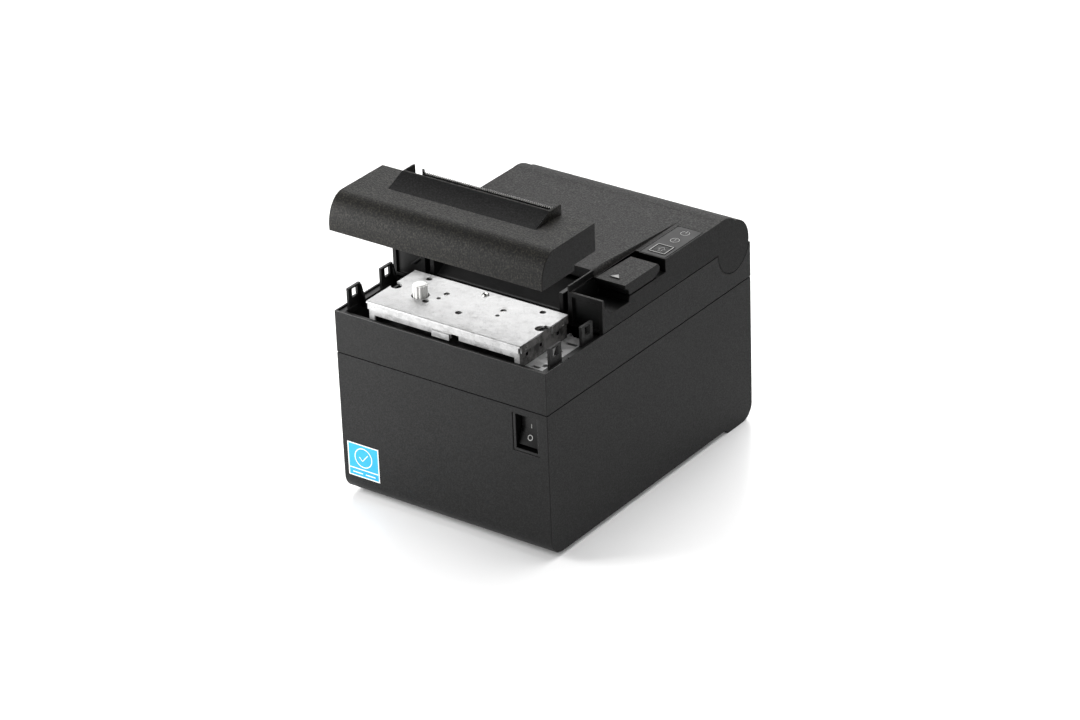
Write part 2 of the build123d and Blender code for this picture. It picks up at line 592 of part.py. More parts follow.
def roll_cover():
    hinge = (HINGE_Y, HINGE_Z)
    outline = [
        Polyline((187.2, 133.2), (HINGE_Y, RIM_Z), (COVER_FRONT, RIM_Z), (COVER_FRONT, TOP_Z), (171.0, TOP_Z)),
        ThreePointArc((171.0, TOP_Z), (180.0, 137.4), (187.2, 133.2)),
    ]
    cover = slab(outline, (-HALF, HALF)) + rod("x", hinge, LOBE_R, (-HALF, HALF))
    # shadow gap above the rim of the upper case
    cover -= both(block((HALF - GROOVE_DEPTH, HALF + 1), (COVER_FRONT - 1, HINGE_Y - LOBE_R - 0.2),
                        (RIM_Z - 1, RIM_Z + GROOVE)))
    cover += paper_ramp()
    # hollow from below; the round back stays a shell that reaches down behind the hinge
    inside = (-IN_X, IN_X)
    cover -= block(inside, (COVER_FRONT + 2.6, 180.0), (90, TOP_Z - WALL))
    cover -= block(inside, (179.0, HINGE_Y), (90, 132.0))
    cover -= rod("x", hinge, LOBE_R - WALL, inside)
    cover -= block(inside, (HINGE_Y - 1, DEPTH), (90, 110.0))
    # paper chute in front of the ramp, closed below by a sloping wall
    cover += slab([(57.0, 120.5), (57.0, 123.5), (RAMP_FRONT + 2, 136.7), (RAMP_FRONT + 2, 133.5)], inside)
    chute = slab(CHUTE, (-CHUTE_HALF, CHUTE_HALF))
    cover -= fillet(chute.edges().filter_by(Axis.Z).group_by(Axis.Y)[-1], 2.5)
    cover += both(block((CHUTE_HALF, RAMP_HALF), (COVER_FRONT, RAMP_FRONT + 3), (119.0, TOP_Z)))
    # front pockets beside the chute, with a diagonal rib on the left
    cover -= both(block((RAMP_HALF + 1.7, IN_X), (COVER_FRONT - 1, COVER_FRONT + 1.6), (119.5, TOP_Z - 2.6)))
    rib = extrude(Plane.XZ * make_face(Polyline((-59.8, 127.0), (-58.8, 126.6), (-51.5, 132.6), (-51.5, 134.0),
                                                close=True)), amount=-1.8)
    cover += Pos(0, COVER_FRONT + 0.2, 0) * rib
    # tray for the lever and the finger space in front of it
    cover += block((RAMP_HALF, IN_X + 1), (COVER_FRONT + 2, 118.0), (124.6, TOP_Z - 1))
    well = [
        Polyline((56.2, 150), (56.2, 138.2)),
        ThreePointArc((56.2, 138.2), (58.6, 131.0), (64.6, 127.3)),
        Polyline((64.6, 127.3), (79.6, 127.0), (80.6, 130.2), (116.1, 130.2), (116.1, 150), (56.2, 150)),
    ]
    cover -= slab(well, LEVER_WELL)
    rib = slab([(98.5, 129.5), (108.5, 129.5), (106.5, 134.5), (103.5, 136.0), (100.5, 134.5)], (60.5, 62.5))
    rib -= rod("x", LEVER_PIVOT, LEVER_PIN_R, (60, 63))
    cover += rib
    # seat for the control panel, with the openings for the button and the lights
    cover -= block(PANEL_X, PANEL_Y, (TOP_Z - 1.0, TOP_Z + 1))
    cover -= block((BUTTON_X[0] - BUTTON_GAP, BUTTON_X[1] + BUTTON_GAP),
                   (BUTTON_Y[0] - BUTTON_GAP, BUTTON_Y[1] + BUTTON_GAP), (130, TOP_Z + 1))
    for place in LIGHTS:
        cover -= rod("z", place, LIGHT_R, (130, TOP_Z + 1))
    for x, y in ((54.5, 135.0), (68.0, 135.0), (54.5, 152.0), (68.0, 152.0)):
        cover += rod("z", (x, y), 1.2, (131.2, TOP_Z - 2))
    # arms that carry the platen, and bosses on the hinge pins
    arm = slab([(54.6, 136), (54.6, 106), (55.4, 100), (58.0, 97.6), (61.5, 97.6), (66.5, 103), (72, 112), (72, 136)],
               ARM_X)
    arm -= rod("x", (PLATEN_Y, PLATEN_Z), 4.0, (42, 47))
    boss = rod("x", hinge, 6.0, (66.3, IN_X + 0.5))
    boss -= rod("x", hinge, HINGE_PIN_R + 0.05, (66.0, 69.9))
    # mounting ledge of the fixed blade
    cover += both(arm + boss) + block((-45, 45), (56.6, 60.0), (119.2, 124.0))
    return cover - block((-42.5, 42.5), (COVER_FRONT - 1, 57.2), (RIM_Z - 1, 119.2))


def fixed_blade():
    blade = block((-42.5, 42.5), (53.0, 60.0), (118.4, 119.2))
    return blade


def platen_bushes():
    bush = rod("x", (PLATEN_Y, PLATEN_Z), 4.0, ARM_X) - rod("x", (PLATEN_Y, PLATEN_Z), SHAFT_R + 0.05, (42, 47))
    return group([bush, mirror(bush, about=Plane.YZ)])


def platen_shaft():
    return rod("x", (PLATEN_Y, PLATEN_Z), SHAFT_R, (-58.4, 48.5))


def platen_roller():
    centre = (PLATEN_Y, PLATEN_Z)
    return rod("x", centre, PLATEN_R, (-HEAD_HALF, HEAD_HALF)) - rod("x", centre, SHAFT_R, (-42, 42))


def platen_gear():
    return feed_gear(PLATEN_TEETH, PLATEN_PHASE, (PLATEN_Y, PLATEN_Z), SHAFT_R)


def control_panel():
    panel = block(PANEL_X, PANEL_Y, (TOP_Z - 1.0, TOP_Z + 0.1))
    panel -= block((BUTTON_X[0] - BUTTON_GAP, BUTTON_X[1] + BUTTON_GAP),
                   (BUTTON_Y[0] - BUTTON_GAP, BUTTON_Y[1] + BUTTON_GAP), (130, TOP_Z + 1))
    for place in LIGHTS:
        panel -= rod("z", place, LIGHT_R, (130, TOP_Z + 1))
    corner = panel.edges().filter_by(Axis.Z).sort_by(lambda e: -e.center().Y + e.center().X)[0]
    return fillet(corner, 2.5)


def status_lights():
    return group([rod("z", p, LIGHT_R, (132.6, TOP_Z + 0.1)) for p in LIGHTS])


def panel_board():
    board = block((53.0, 69.6), (119.0, 154.4), (130.0, 131.2))
    board += block((60.3, 66.3), (122.6, 128.6), (131.2, 134.4))
    board += rod("z", (63.3, 125.6), 1.5, (134.3, 135.3))
    for x, y in LIGHTS:
        board += block((x - 1.4, x + 1.4), (y - 0.8, y + 0.8), (131.2, 132.2))
    return board


def feed_button():
    button = block(BUTTON_X, BUTTON_Y, (136.3, TOP_Z + 0.4))
    return fillet(button.edges().filter_by(Axis.Z), 0.8)


def cover_lever():
    outline = [(77.0, TOP_Z), (77.0, 135.8), (78.6, 135.4), (80.3, 133.6), (81.0, 130.8), (104.3, 130.8),
               (110.5, 133.2), (111.0, 136.0), (109.2, TOP_Z)]
    lever = slab(outline, LEVER_X)
    lever -= block((60.2, 62.8), (97.0, 112.0), (130, 136.6))
    lever -= rod("x", LEVER_PIVOT, LEVER_PIN_R + 0.05, (53.4, 70.6))
    lever -= rod("x", LEVER_PIVOT, 3.4, (62.8, 67.6))
    lever -= block((62.8, 67.6), (90.0, 104.0), (130, 132.6))
    # raised arrow, pointing back
    arrow = extrude(make_face(Polyline((58.0, 82.3), (65.0, 82.3), (61.5, 86.4), close=True)), amount=0.4)
    return lever + Pos(0, 0, TOP_Z) * arrow


def lever_pin():
    return rod("x", LEVER_PIVOT, LEVER_PIN_R, (53.5, 70.5))


def lever_spring():
    """Torsion spring around the pin that presses the lever shut."""
    y, z = LEVER_PIVOT
    wound = Pos(63.2, y, z) * Rot(0, 90, 0) * coil(2.0, 0.7, 4.0, 4)
    return wound


# ---------------------------------------------------------------- cutter cover
LID_CENTRE = (13.0, 121.0)      # centre of the front edge's quarter ellipse
TROUGH = (40.8, 46.4)
TEAR_X = (-41.0, 48.8)
TOOTH = 1.3


def lid_outline(inset):
    """Side view of the cutter cover, or of the hollow that is inset from it."""
    y0, z0 = LID_CENTRE
    top = TOP_Z - inset
    low = 117.85 - inset
    back = LID_BACK - inset
    front = EllipticalCenterArc((y0, z0), y0 - inset, top - z0, start_angle=90, arc_size=90)
    step_y, step_z = 30.0 + inset, 121.3 - inset
    return [
        Line((inset, z0), (inset, low)),
        Polyline((inset, low), (step_y, low), (step_y, step_z), (back, step_z), (back, top), (y0, top)),
        front,
    ]


def cutter_cover():
    lid = slab(lid_outline(0), (-HALF, HALF))
    # ridge in front of the tear bar, with a fin at each end that runs back beside the paper
    ridge = slab([(26.3, TOP_Z - 1), (26.3, TOP_Z), (39.3, CREST_Z), (LID_BACK, CREST_Z), (LID_BACK, TOP_Z - 1)],
                 (-50.6, 50.6))
    ends = ridge.edges().filter_by(lambda e: abs(e.center().X) > 50 and e.center().Z > TOP_Z + 2.5)
    ends = ends.filter_by(lambda e: e.center().Y < LID_BACK - 1)
    lid += fillet(ends, 0.9)
    hollow = slab(lid_outline(LID_WALL), (-HALF + LID_WALL, HALF - LID_WALL))
    hollow += block((-HALF + LID_WALL, HALF - LID_WALL), (LID_WALL, LID_BACK - LID_WALL), (110, 123))
    hollow -= block((-52.5, 52.5), (38.6, 60), (129.6, 150))
    lid -= hollow
    inner = 48.9
    lid -= block((-inner, inner), TROUGH, (131.6, 150))
    lid -= block((-inner, inner), (TROUGH[1] - 0.1, LID_BACK + 1), (137.4, 150))
    # the rear wall stops above the cutter module
    lid -= block((-HALF + LID_WALL, HALF - LID_WALL), (LID_BACK - LID_WALL - 1, LID_BACK + 1), (117, 129.6))
    lid -= slab([(28.5, TOP_Z - 3), (38.6, 141.6), (38.6, TOP_Z - 3)], (-48.4, 48.4))
    return Pos(0, 0, LIFT) * lid


def tear_bar():
    """Serrated strip on the rear wall of the paper trough, with a taller post at its left end."""
    low, root, tip = 132.4, 142.0, 143.2
    count = int((TEAR_X[1] - TEAR_X[0] - 1.5) / TOOTH)
    left = TEAR_X[0] + 1.5
    outline = [(TEAR_X[0], low), (TEAR_X[0], 144.6), (left - 0.3, 144.6), (left, root)]
    for tooth in range(count):
        x = left + tooth * TOOTH
        outline += [(x + TOOTH / 2, tip), (x + TOOTH, root)]
    outline += [(TEAR_X[1], root), (TEAR_X[1], low)]
    strip = extrude(Plane.XZ * make_face(Polyline(*outline, close=True)), amount=-0.8)
    return Pos(0, TROUGH[1] - 0.8, LIFT) * strip


# ---------------------------------------------------------------- write every piece
PIECES = {
    "lower_case": lower_case, "floor_tray": floor_tray, "rear_panel": rear_panel, "base_plate": base_plate, "case_screws": case_screws, "rubber_feet": rubber_feet,
    "power_switch": power_switch, "power_rocker": power_rocker, "label_plate": label_plate,
    "upper_case": upper_case, "hinge_pins": hinge_pins, "mechanism_frame": mechanism_frame,
    "print_head": print_head, "head_heatsink": head_heatsink, "head_springs": head_springs,
    "head_cable": head_cable, "feed_motor": feed_motor, "motor_pinion": motor_pinion, "idler_gear": idler_gear,
    "cutter_frame": cutter_frame, "cutter_top_plate": cutter_top_plate, "cutter_screw": cutter_screw,
    "cutter_motor": cutter_motor, "cutter_knob": cutter_knob, "crank_gear": crank_gear, "crank_pin": crank_pin,
    "moving_blade": moving_blade, "paper_bucket": paper_bucket, "paper_sensor": paper_sensor,
    "mainboard": mainboard, "power_supply": power_supply, "power_inlet": power_inlet, "usb_port": usb_port,
    "roll_cover": roll_cover, "fixed_blade": fixed_blade, "platen_bushes": platen_bushes,
    "platen_shaft": platen_shaft, "platen_roller": platen_roller, "platen_gear": platen_gear,
    "control_panel": control_panel, "status_lights": status_lights, "panel_board": panel_board,
    "feed_button": feed_button, "cover_lever": cover_lever, "lever_pin": lever_pin,
    "lever_spring": lever_spring, "cutter_cover": cutter_cover, "tear_bar": tear_bar,
}

for name, make in PIECES.items():
    export(name, make())
export("network_port", jack(NETWORK_X, NETWORK_Z, 11.8))
export("drawer_port", jack(DRAWER_X, DRAWER_Z, 9.8))
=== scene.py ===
"""Looks of the receipt printer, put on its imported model. Metres; the object rests on z = 0."""
import json
import math

import bpy
from mathutils import Matrix, Vector


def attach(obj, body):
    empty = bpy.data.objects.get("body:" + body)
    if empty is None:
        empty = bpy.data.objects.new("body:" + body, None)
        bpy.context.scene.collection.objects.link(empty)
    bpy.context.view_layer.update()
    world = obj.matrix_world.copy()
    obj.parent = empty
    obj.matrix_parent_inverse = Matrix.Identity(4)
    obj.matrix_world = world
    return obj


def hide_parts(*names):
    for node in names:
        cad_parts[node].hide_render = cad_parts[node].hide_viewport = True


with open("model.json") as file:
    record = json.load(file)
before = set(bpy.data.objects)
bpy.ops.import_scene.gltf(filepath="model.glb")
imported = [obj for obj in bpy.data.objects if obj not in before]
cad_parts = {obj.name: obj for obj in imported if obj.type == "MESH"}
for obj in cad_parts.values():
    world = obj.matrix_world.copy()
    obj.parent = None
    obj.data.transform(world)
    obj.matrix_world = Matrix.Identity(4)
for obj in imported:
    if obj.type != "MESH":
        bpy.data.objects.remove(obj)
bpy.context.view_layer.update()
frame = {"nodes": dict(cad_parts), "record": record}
nodes = frame["nodes"]

MM = 0.001
# the rest in mm, with y measured back from the front face
FRONT = 101.0                       # the front face is this far in front of the origin
OUTER_X, OUTER_Y, REAR_Y = 72.1, 0.4, 201.6     # past these a face is on the outside of the shells
TOP_Z = 138.1                       # flat top of the roll cover and of the seated cutter cover
LIFT = 49.4                         # how far the cutter cover is held above its seat
PLATE_Z = 127.0                     # top of the cutter module
SEAM_Z, GROOVE = 91.4, 0.45         # seam of the two case shells, and its shadow gap
RIM_Z = 117.75                      # top edge of the upper case
WELL_Y = 51.0                       # behind this the roll cover sits on the rim
HINGE = (184.8, 117.6)              # roll cover's axis, y and z
LOBE_R = 15.8                       # radius of its round rear end
BUTTON = (63.35, 125.65)            # middle of the feed button, x and y
SWITCH_X = 57.9


def spot(x, y, z):
    """A point given in mm, with y measured back from the front face."""
    return Vector((x * MM, (y - FRONT) * MM, z * MM))


# ---------------------------------------------------------------- camera
def aim_camera():
    place = Vector((1.2219, -1.6446, 1.1273))
    azimuth, elevation, roll = (math.radians(angle) for angle in (36.7487, 27.4761, -2.251))
    back = Vector((math.sin(azimuth) * math.cos(elevation), -math.cos(azimuth) * math.cos(elevation),
                   math.sin(elevation)))
    level = (-back).cross(Vector((0, 0, 1))).normalized()
    upright = level.cross(-back)
    right = math.cos(roll) * level + math.sin(roll) * upright
    up = -math.sin(roll) * level + math.cos(roll) * upright
    turn = Matrix((right, up, back)).transposed().to_4x4()
    data = bpy.data.cameras.new("camera")
    data.lens, data.sensor_width = 134.42, 36.0
    camera = bpy.data.objects.new("camera", data)
    camera.matrix_world = Matrix.Translation(place) @ turn
    bpy.context.scene.collection.objects.link(camera)
    bpy.context.scene.camera = camera


aim_camera()


# ---------------------------------------------------------------- materials
def linear(code):
    """sRGB hex to the linear colour that a shader takes."""
    def channel(value):
        return value / 12.92 if value <= 0.04045 else ((value + 0.055) / 1.055) ** 2.4
    return tuple(channel(int(code[i:i + 2], 16) / 255) for i in (0, 2, 4)) + (1.0,)


def add(tree, kind, settings=None, links=None):
    """A node with its properties and input values set, and its inputs linked."""
    made = tree.nodes.new(kind)
    for key, value in (settings or {}).items():
        if isinstance(key, int) or key in made.inputs:
            made.inputs[key].default_value = value
        else:
            setattr(made, key, value)
    for key, source in (links or {}).items():
        tree.links.new(source, made.inputs[key])
    return made


def start(name):
    material = bpy.data.materials.new(name)
    material.use_nodes = True
    tree = material.node_tree
    tree.nodes.clear()
    place = add(tree, "ShaderNodeTexCoord").outputs["Object"]
    return material, tree, place


def finish_material(tree, settings, links):
    shader = add(tree, "ShaderNodeBsdfPrincipled", settings, links)
    add(tree, "ShaderNodeOutputMaterial", links={"Surface": shader.outputs[0]})


def ramp(tree, source, stops):
    """A colour ramp with (position, hex) stops."""
    made = add(tree, "ShaderNodeValToRGB", links={"Fac": source})
    band = made.color_ramp
    while len(band.elements) < len(stops):
        band.elements.new(0.5)
    for element, (position, code) in zip(band.elements, stops):
        element.position = position
        element.color = linear(code)
    return made.outputs["Color"]


def spread(tree, source, low, high, start_at=0.3, end_at=0.7):
    """Noise brought to the range low to high."""
    return add(tree, "ShaderNodeMapRange", {"From Min": start_at, "From Max": end_at, "To Min": low,
                                            "To Max": high}, {"Value": source}).outputs["Result"]


def noise(tree, place, size_mm, detail=2.0, roughness=0.5):
    """Noise whose blotches are about size_mm across."""
    return add(tree, "ShaderNodeTexNoise", {"Scale": 1 / (size_mm * MM), "Detail": detail,
                                            "Roughness": roughness}, {"Vector": place}).outputs["Fac"]


def bump(tree, height, depth_mm, strength=1.0):
    return add(tree, "ShaderNodeBump", {"Strength": strength, "Distance": depth_mm * MM},
               {"Height": height}).outputs["Normal"]


def moulded_abs(name, dark, mid, light, grain_mm, depth_mm, roughness, specular=0.5):
    """Injection-moulded ABS with a spark-eroded grain: matt, with a speckle of tiny facets that catch light.
    The real grain is finer than this one, which is drawn coarse enough to show."""
    material, tree, place = start(name)
    grain = noise(tree, place, grain_mm, 3.0, 0.6)
    clouds = noise(tree, place, 38.0, 2.0)
    colour = ramp(tree, grain, [(0.36, dark), (0.50, mid), (0.66, light)])
    shade = spread(tree, clouds, 0.94, 1.05)
    colour = add(tree, "ShaderNodeVectorMath", {"operation": "SCALE"}, {0: colour, "Scale": shade}).outputs[0]
    finish_material(tree, {"IOR": 1.53, "Specular IOR Level": specular},
                    {"Base Color": colour,
                     "Roughness": spread(tree, grain, roughness + 0.07, roughness - 0.07),
                     "Normal": bump(tree, grain, depth_mm)})
    return material


def smooth_plastic(name, code, other, roughness, ior=1.5, specular=0.5):
    """Plastic from a polished mould: even, with faint flow clouds."""
    material, tree, place = start(name)
    clouds = noise(tree, place, 9.0, 3.0)
    finish_material(tree, {"IOR": ior, "Specular IOR Level": specular},
                    {"Base Color": ramp(tree, clouds, [(0.35, code), (0.65, other)]),
                     "Roughness": spread(tree, clouds, roughness - 0.04, roughness + 0.04),
                     "Normal": bump(tree, noise(tree, place, 1.2, 2.0), 0.004)})
    return material


def galvanised(name, shade="FFFFFF", stain_dark="D2D1D0", stain_low=0.30, stain_high=0.46):
    """Hot-dip galvanised sheet steel: zinc crystals a few mm across, white bloom and grey stains."""
    material, tree, place = start(name)
    crystals = add(tree, "ShaderNodeTexVoronoi", {"Scale": 1 / (2.6 * MM), "Randomness": 1.0},
                   {"Vector": place})
    tint = add(tree, "ShaderNodeSeparateColor", links={"Color": crystals.outputs["Color"]}).outputs[0]
    bloom = noise(tree, place, 7.0, 5.0, 0.65)
    specks = noise(tree, place, 0.9, 2.0, 0.6)
    zinc = ramp(tree, tint, [(0.0, "B0B0B0"), (0.5, "BEBEBE"), (1.0, "CACACA")])
    stain = ramp(tree, bloom, [(stain_low, stain_dark), (stain_high, "F2F2F2"), (0.72, "FFFFFF")])
    dots = ramp(tree, specks, [(0.26, "A4A4A4"), (0.36, "FFFFFF")])

    def multiplied(first, amount, second=None, colour="FFFFFF"):
        """A colour darkened by a second one, which is a link or a fixed colour."""
        links = {6: first, 7: second} if second else {6: first}
        return add(tree, "ShaderNodeMix", {"data_type": "RGBA", "blend_type": "MULTIPLY", 0: amount,
                                           7: linear(colour)}, links).outputs[2]

    mixed = multiplied(multiplied(multiplied(zinc, 0.8, stain), 0.7, dots), 1.0, colour=shade)
    finish_material(tree, {"Metallic": 0.35},
                    {"Base Color": mixed, "Roughness": spread(tree, tint, 0.34, 0.56, 0.0, 1.0),
                     "Normal": bump(tree, specks, 0.02, 0.5)})
    return material


def metal(name, code, other, roughness, brush_mm=None):
    """Bare metal; brush_mm is the spacing of fine lines along X left by rolling or turning."""
    material, tree, place = start(name)
    if brush_mm:
        stretched = add(tree, "ShaderNodeMapping", {"Scale": (0.06, 1.0, 1.0)}, {"Vector": place}).outputs[0]
        lines = noise(tree, stretched, brush_mm, 2.0)
    else:
        lines = noise(tree, place, 1.5, 3.0)
    finish_material(tree, {"Metallic": 1.0},
                    {"Base Color": ramp(tree, lines, [(0.3, code), (0.7, other)]),
                     "Roughness": spread(tree, lines, roughness - 0.06, roughness + 0.08),
                     "Normal": bump(tree, lines, 0.006, 0.6)})
    return material


def rubber_stuff(name, code, other, roughness):
    """Moulded rubber: matt, with a fine dusty bloom."""
    material, tree, place = start(name)
    dust = noise(tree, place, 0.8, 3.0, 0.6)
    finish_material(tree, {"IOR": 1.52},
                    {"Base Color": ramp(tree, dust, [(0.3, code), (0.7, other)]),
                     "Roughness": spread(tree, dust, roughness - 0.05, roughness + 0.05),
                     "Normal": bump(tree, dust, 0.03)})
    return material


def circuit_board_stuff():
    """Fibreglass board under green solder mask, with copper tracks that show as paler green lines."""
    material, tree, place = start("solder mask on FR4 board")
    turned = add(tree, "ShaderNodeMapping", {"Rotation": (0, 0, math.radians(45))},
                 {"Vector": place}).outputs[0]
    cells = add(tree, "ShaderNodeTexBrick", {"Scale": 1 / (4.0 * MM), "Mortar Size": 0.08, "Brick Width": 2.4,
                                             "Row Height": 0.5, "Color1": linear("1E5B35"),
                                             "Color2": linear("236A3E"), "Mortar": linear("2F8350")},
                {"Vector": turned})
    finish_material(tree, {"Roughness": 0.32, "IOR": 1.5},
                    {"Base Color": cells.outputs["Color"], "Normal": bump(tree, cells.outputs["Fac"], 0.03)})
    return material


def paper_label(name, code, other, roughness=0.35):
    """Printed vinyl label: flat ink with the least paper mottling under a satin film."""
    material, tree, place = start(name)
    fibre = noise(tree, place, 0.7, 3.0)
    finish_material(tree, {"Roughness": roughness, "IOR": 1.46},
                    {"Base Color": ramp(tree, fibre, [(0.3, code), (0.7, other)]),
                     "Normal": bump(tree, fibre, 0.004)})
    return material


# colours, grain size and depth in mm, roughness, specular level
case_abs = moulded_abs("moulded ABS case", "131313", "181818", "202020", 0.75, 0.045, 0.55, 0.18)
cover_abs = moulded_abs("moulded ABS cover", "080707", "141312", "2C2A28", 0.95, 0.16, 0.55, 0.16)
lid_abs = moulded_abs("coarse grained ABS lid", "060605", "11100E", "2C2A24", 0.95, 0.24, 0.54, 0.17)
# painted shade: the insides of the shells come off a smooth core and see little light, so they, and the
# seams, corners and edges where shade falls, get this near-black plastic
painted_shade_abs = smooth_plastic("smooth ABS with painted shade", "050505", "080808", 0.45, 1.5, 0.2)
ridge_abs = moulded_abs("fine grained ABS ridge", "030303", "090909", "151515", 0.9, 0.06, 0.6, 0.08)
panel_film = smooth_plastic("printed panel film", "171616", "1A1919", 0.50, 1.5, 0.25)
# the side walls' finer grain is their own; their darker colour is painted shade
smooth_shaded_side_abs = moulded_abs("smooth ABS side wall with painted shade", "0E0E0E", "121212", "181818", 0.75, 0.03, 0.58, 0.15)
# painted highlight: a lighter, glossier ABS for the line of light along the rim's outer edge
rim_highlight_abs = moulded_abs("ABS edge with painted highlight", "262626", "303030", "3C3C3C", 0.75, 0.02, 0.40, 0.5)
# painted highlight: light grey for the lever arrow's lit facet
arrow_highlight_abs = smooth_plastic("ABS arrow with painted highlight", "6A6A68", "767674", 0.30, 1.5, 0.5)
button_plastic = smooth_plastic("satin button plastic", "0C0C0C", "101010", 0.50, 1.5, 0.2)
gloss_black = smooth_plastic("glossy switch nylon", "050505", "080808", 0.30, 1.5, 0.25)
light_acrylic = smooth_plastic("smoked light pipe", "171616", "1A1919", 0.48, 1.5, 0.25)
white_acetal = smooth_plastic("white acetal", "F4F3F0", "FAF9F7", 0.38)
white_ink = paper_label("white ink", "A4A4A2", "AEAEAC", 0.5)
label_blue = paper_label("light blue label ink", "06A4DC", "0CA9DF")
label_white = paper_label("white label ink", "F3F5F5", "FAFBFB")
zinc_sheet = galvanised("galvanised sheet steel")
# a darker, blotchier galvanised for the plate's cut sides and the frame's right face
darkened_zinc = galvanised("darkened galvanised edge", "B0AEAC", "3A3836", 0.40, 0.56)
# painted shade: dark steel inside the cutter frame, where the mechanism shades it
painted_shade_steel = metal("dark steel with painted shade", "262626", "333333", 0.5)

FINISHES = {
    "case_plastic": case_abs,
    "cover_plastic": cover_abs,
    "panel_plastic": panel_film,
    "black_plastic": gloss_black,
    "light_plastic": light_acrylic,
    "white_gear_plastic": white_acetal,
    "label": label_blue,
    "rubber": rubber_stuff("moulded rubber", "141414", "1E1E1E", 0.75),
    "platen_rubber": rubber_stuff("ground platen rubber", "1B1B1C", "242425", 0.62),
    "galvanised_sheet": zinc_sheet,
    "steel": metal("bright steel", "B9B8B6", "CFCECC", 0.26, 0.35),
    "motor_case": metal("nickel plated motor can", "9C9A96", "B1AFAB", 0.30),
    "aluminium": metal("extruded aluminium", "B4B5B7", "C9CACC", 0.38, 0.3),
    "ceramic_head": smooth_plastic("glazed ceramic", "D9D4C8", "E4E0D6", 0.20, 1.6),
    "circuit_board": circuit_board_stuff(),
    "plated_connector": metal("tin plated shell", "A8A9AA", "C3C4C5", 0.30),
    "flat_cable": smooth_plastic("polyester flat cable", "D5D6D2", "E4E5E2", 0.40),
}


def dress(piece, *materials):
    piece.data.materials.clear()
    for material in materials:
        piece.data.materials.append(material)


for piece in nodes.values():
    dress(piece, FINISHES[piece.material_slots[0].material.name])


# ---------------------------------------------------------------- edges
def select_only(piece):
    bpy.ops.object.select_all(action="DESELECT")
    bpy.context.view_layer.objects.active = piece
    piece.select_set(True)


def clean_copy(node):
    """A copy of a CAD node with its doubles merged and its flat faces made whole."""
    mesh = nodes[node].data.copy()
    piece = bpy.data.objects.new(node + "_finished", mesh)
    bpy.context.scene.collection.objects.link(piece)
    select_only(piece)
    bpy.ops.object.mode_set(mode="EDIT")
    bpy.ops.mesh.select_all(action="SELECT")
    bpy.ops.mesh.remove_doubles(threshold=0.002 * MM)
    bpy.ops.mesh.dissolve_limited(angle_limit=math.radians(0.3))
    bpy.ops.object.mode_set(mode="OBJECT")
    return piece


def apply_modifier(piece, kind, **settings):
    modifier = piece.modifiers.new(kind.lower(), kind)
    for key, value in settings.items():
        setattr(modifier, key, value)
    select_only(piece)
    bpy.ops.object.modifier_apply(modifier=modifier.name)


def round_edges(piece, radius_mm, clamp=False):
    """Round the sharp edges; clamp keeps the rounding of very small faces from crossing itself."""
    apply_modifier(piece, "BEVEL", width=radius_mm * MM, segments=2, limit_method="ANGLE",
                   angle_limit=math.radians(32), use_clamp_overlap=clamp)
    bpy.ops.object.shade_smooth()
    apply_modifier(piece, "WEIGHTED_NORMAL", mode="FACE_AREA", weight=50, keep_sharp=False)


def finished(node, body, radius_mm):
    """Stand a rounded copy in for a CAD node."""
    piece = clean_copy(node)
    round_edges(piece, radius_mm)
    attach(piece, body)
    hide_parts(node)
    return piece


def centre_of(face):
    """A face's middle in mm, with y measured back from the front face."""
    return face.center.x / MM, face.center.y / MM + FRONT, face.center.z / MM


def paint(piece, material, wanted):
    """Give a second material to the faces for which wanted(x, y, z, normal) holds."""
    piece.data.materials.append(material)
    number = len(piece.data.materials) - 1
    for face in piece.data.polygons:
        if wanted(*centre_of(face), face.normal):
            face.material_index = number


def pick(piece, wanted):
    """Go into edit mode with only the faces chosen for which wanted(x, y, z, normal) holds."""
    select_only(piece)
    bpy.ops.object.mode_set(mode="EDIT")
    bpy.ops.mesh.select_mode(type="FACE")
    bpy.ops.mesh.select_all(action="DESELECT")
    bpy.ops.object.mode_set(mode="OBJECT")
    for face in piece.data.polygons:
        face.select = wanted(*centre_of(face), face.normal)
    bpy.ops.object.mode_set(mode="EDIT")


body_of = {node: body for body, members in frame["record"]["behaviour"]["bodies"].items() for node in members}
shells = {}
for node, radius in {
    "lower_case": 0.35, "upper_case": 0.2, "rear_panel": 0.22, "floor_tray": 0.3, "roll_cover": 0.2,
    "cutter_cover": 0.4, "cover_lever": 0.22, "control_panel": 0.1,
    "status_lights": 0.1, "power_switch": 0.3, "power_rocker": 0.35, "cutter_knob": 0.12, "base_plate": 0.3,
    "rubber_feet": 0.5, "paper_bucket": 0.3, "tear_bar": 0.08,
}.items():
    shells[node] = finished(node, body_of[node], radius)


def move_faces(piece, wanted, shift_mm):
    """Move the chosen faces by a vector in mm."""
    pick(piece, wanted)
    bpy.ops.transform.translate(value=tuple(part * MM for part in shift_mm))
    bpy.ops.object.mode_set(mode="OBJECT")


# the panel's shadow line, and the lever's left face close to its well
move_faces(shells["control_panel"], lambda x, y, z, n: x < 54.9 and z < 139, (0.35, 0, 0))
move_faces(shells["control_panel"], lambda x, y, z, n: x > 71.2, (-0.3, 0, 0))
move_faces(shells["control_panel"], lambda x, y, z, n: y > 155.1, (0, -0.35, 0))
move_faces(shells["cover_lever"], lambda x, y, z, n: x < 52.6, (-0.4, 0, 0))


def hinge_distance(y, z):
    return math.hypot(y - HINGE[0], z - HINGE[1])


def inside_roll_cover(x, y, z, normal):
    outer = (abs(x) > OUTER_X + 0.1 or (z > TOP_Z - 0.4 and normal.z > 0.2)
             or (y > 176 and hinge_distance(y, z) > LOBE_R - 0.6))
    return not outer


